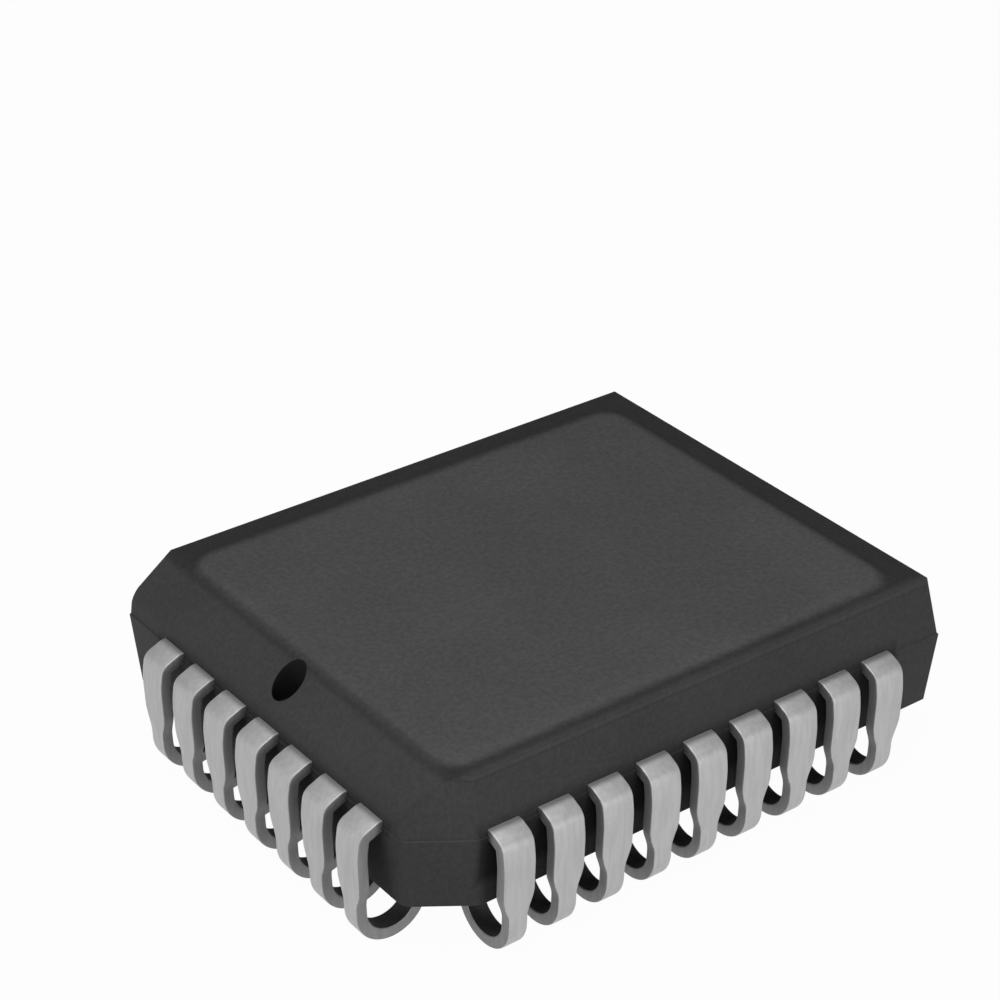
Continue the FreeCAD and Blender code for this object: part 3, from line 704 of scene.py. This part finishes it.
def round_strip(lead, wall):
    bpy.ops.mesh.select_all(action="DESELECT")
    bpy.ops.mesh.select_mode(type="EDGE")
    bpy.ops.mesh.edges_select_sharp(sharpness=math.radians(SHARP))
    for edge in bmesh.from_edit_mesh(lead.data).edges:
        ends = [vertex.co / MM for vertex in edge.verts]
        if all(end.y > -(wall - STUB_EDGE) and end.z > STUB_FLOOR for end in ends):
            edge.select_set(False)
    bmesh.update_edit_mesh(lead.data)
    round_selected(EDGE_ROUND, segments=4)
    leave_edit_mode(LEAD_SMOOTH)


# %% [markdown]
# Each face of the strip gets one of the three tins by the way it looks: sideways for a sheared edge,
# and towards the middle of the J's hollow for the painted shade inside the bend. The finger is drawn
# out later and stays hidden in the resin, so its faces aren't sorted.

# %% Give the strip its tins
HOLLOW_DEPTH, HOLLOW_HEIGHT, UNDER_STUB = 0.36, 1.6, 0.1
SIDEWAYS, NOT_SIDEWAYS = 0.8, 0.3
FACE, SHEARED, INSIDE = 0, 1, 2


def give_tins(lead, wall):
    for tin in tins:
        lead.data.materials.append(tin)
    for face in lead.data.polygons:
        middle, sideways = face.center / MM, abs(face.normal.x)
        to_hollow = Vector((middle.x, -(wall - HOLLOW_DEPTH), HOLLOW_HEIGHT)) - middle
        inside = (middle.z < LEAD_TOP - UNDER_STUB and sideways < NOT_SIDEWAYS
                  and face.normal.dot(to_hollow) > 0)
        face.material_index = SHEARED if sideways > SIDEWAYS else INSIDE if inside else FACE


def form_lead(wall, offset):
    lead = bend_strip(wall, offset)
    round_strip(lead, wall)
    give_tins(lead, wall)
    return lead


LONG_SIDE_REACH, SHORT_SIDE_REACH = 0.52, 0.6
long_side_lead = form_lead(WALL_Y, LONG_SIDE_REACH)
short_side_lead = form_lead(WALL_X, SHORT_SIDE_REACH)
print("lead", [round(d / MM, 3) for d in long_side_lead.dimensions], "mm,",
      len(long_side_lead.data.polygons), "faces")

# %% [markdown]
# ## Leads: fingers inside the body
# Inside the body each lead goes on as a flat finger, with a barb that locks it in the resin, and
# fans in towards the die. The finger is drawn out from the stub's inner face: at every stage the
# face is extruded inwards and scaled to its next width, and the fan also shifts it sideways.

# %% Draw out a finger
BARB_WIDE, NECK_WIDE, FINGER_WIDE, FINGER_PITCH = 1.04, 0.46, 0.4, 0.78
BARB_START, BARB_FLARE, BARB_LENGTH, NECK_LENGTH, FINGER_END = 0.34, 0.02, 0.26, 0.35, 0.5


def draw_finger(wall, ring, place):
    """Draw out the finger of the lead at this place in its row, as far as the ring round the die."""
    straight = STUB + BARB_START + 2 * BARB_FLARE + BARB_LENGTH + NECK_LENGTH + FINGER_END
    fan_shift = place * (FINGER_PITCH - PITCH)
    select_faces(lambda middle, normal: (normal.y > FACING and middle.y > -(wall - STUB_EDGE)
                                         and middle.z > LEAD_UNDER))
    width = WIDE
    for shift, length, end_width in ((0, BARB_START, WIDE), (0, BARB_FLARE, BARB_WIDE),
                                     (0, BARB_LENGTH, BARB_WIDE), (0, BARB_FLARE, NECK_WIDE),
                                     (0, NECK_LENGTH, NECK_WIDE),
                                     (fan_shift, wall - ring - straight, FINGER_WIDE),
                                     (0, FINGER_END, FINGER_WIDE)):
        bpy.ops.mesh.extrude_region_move(TRANSFORM_OT_translate={"value": metres((shift, length, 0))})
        bpy.ops.transform.resize(value=(end_width / width, 1, 1))
        width = end_width


# %% [markdown]
# ## Leads: 32 copies in their rows
# The outer form is the same for a whole row, so it is modelled once and copied, each copy with
# its own mesh, and only the finger is drawn out separately. Each copy is then moved to its place in
# the row, turned to its side and has both applied. A side is its lead, its wall, the ring round the
# die where its fingers end, and how many leads it has. The pins are numbered counterclockwise seen
# from above, from the middle of the pin-1 side, so the front row starts with pin 5.

# %% Place the rows
PINS, FRONT_ROW_PIN = 32, 5
RING_X, RING_Y = 3.9, 3.0
LONG_SIDE, SHORT_SIDE = (long_side_lead, WALL_Y, RING_Y, 9), (short_side_lead, WALL_X, RING_X, 7)


def place_lead(model, wall, ring, place, quarter, name):
    """Copy the formed lead, draw out its finger, and move and turn it to its place in the row."""
    lead = model.copy()
    lead.data = model.data.copy()
    lead.name = lead.data.name = name
    bpy.context.scene.collection.objects.link(lead)
    make_active(lead)
    bpy.ops.object.mode_set(mode="EDIT")
    draw_finger(wall, ring, place)
    leave_edit_mode(LEAD_SMOOTH)
    lead.matrix_world = (Matrix.Rotation(math.radians(90 * quarter), 4, "Z")
                         @ Matrix.Translation((place * PITCH * MM, 0, 0)))
    bpy.ops.object.transform_apply(location=True, rotation=True, scale=True)
    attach(lead, "root")
    return lead


pin = FRONT_ROW_PIN
for quarter, (model, wall, ring, count) in enumerate((LONG_SIDE, SHORT_SIDE, LONG_SIDE, SHORT_SIDE)):
    for index in range(count):
        lead = place_lead(model, wall, ring, index - (count - 1) / 2, quarter, "tin_lead_%02d" % pin)
        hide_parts("lead_%02d" % pin)
        pin = pin % PINS + 1
for model in (long_side_lead, short_side_lead):
    bpy.data.objects.remove(model)
print("leads placed, the last is", lead.name)

# %% [markdown]
# ## Floor
# The chip lies on a plain pale floor. To the camera, and in reflections, the floor is almost all a
# white glow, so that the background is white without more light on the chip. The small rest is an
# ordinary diffuse surface that keeps the shadow, and only this part throws light back up.

# %% Floor
FLOOR_WIDE, FLOOR_GAP, GLOW_SHARE = 1200, 0.02, 0.97

bpy.ops.object.select_all(action="DESELECT")
bpy.ops.mesh.primitive_plane_add(size=FLOOR_WIDE * MM, location=(0, 0, -FLOOR_GAP * MM))
floor = bpy.context.active_object
floor.name = "pale_floor"
pale, tree, shader = new_material("pale_matt_floor")
fill(tree, shader, {"Base Color": "#b8b8b8", "Roughness": 0.9, "Specular IOR Level": 0.1})
rays = tree.nodes.new("ShaderNodeLightPath").outputs
seen = node(tree, "ShaderNodeMath", LARGER, {0: rays["Is Camera Ray"], 1: rays["Is Glossy Ray"]})
seen = node(tree, "ShaderNodeMath", LARGER, {0: seen, 1: rays["Is Transmission Ray"]})
share = node(tree, "ShaderNodeMath", TIMES, {0: seen, 1: GLOW_SHARE})
glow = node(tree, "ShaderNodeEmission", {}, {"Color": "#ffffff", "Strength": 1.0})
blend = node(tree, "ShaderNodeMixShader", {}, {0: share, 1: shader.outputs[0], 2: glow})
tree.links.new(blend, tree.nodes["Material Output"].inputs["Surface"])
floor.data.materials.append(pale)
print("floor", round(floor.dimensions.x, 3), "m wide")

# %% [markdown]
# ## Light
# Plain soft studio light: a dim white world, one softbox overhead, and three low ones in front, to the
# right and to the left. The right and left ones stand square to the two visible sides, so that each
# row of leads shades the gaps between its own leads, and the weak front one fills in at the corner.
# Each lamp has its place, its size and its power in watts, and all look at the middle of the chip.

# %% World and lamps
LAMPS = (("overhead_softbox", (-27.3, -16.4, 120), (87, 87), 0.11),
         ("right_softbox", (30, -209, 66), (80, 60), 0.14),
         ("left_softbox", (-200, 60, 80), (80, 60), 0.086),
         ("front_softbox", (-120, -170, 60), (100, 60), 0.055))
AIM = (0, 0, 2)

world = bpy.data.worlds.new("studio")
bpy.context.scene.world = world
world.use_nodes = True
fill(world.node_tree, world.node_tree.nodes["Background"], {"Color": "#ffffff", "Strength": 0.13})

for name, where, size, watts in LAMPS:
    data = bpy.data.lights.new(name, "AREA")
    data.shape, data.energy = "RECTANGLE", watts
    data.size, data.size_y = metres(size)
    lamp = bpy.data.objects.new(name, data)
    lamp.location = metres(where)
    lamp.rotation_euler = (Vector(AIM) - Vector(where)).to_track_quat("-Z", "Y").to_euler()
    bpy.context.scene.collection.objects.link(lamp)
    print(name, watts, "W")

bpy.context.scene.view_settings.view_transform = "Standard"
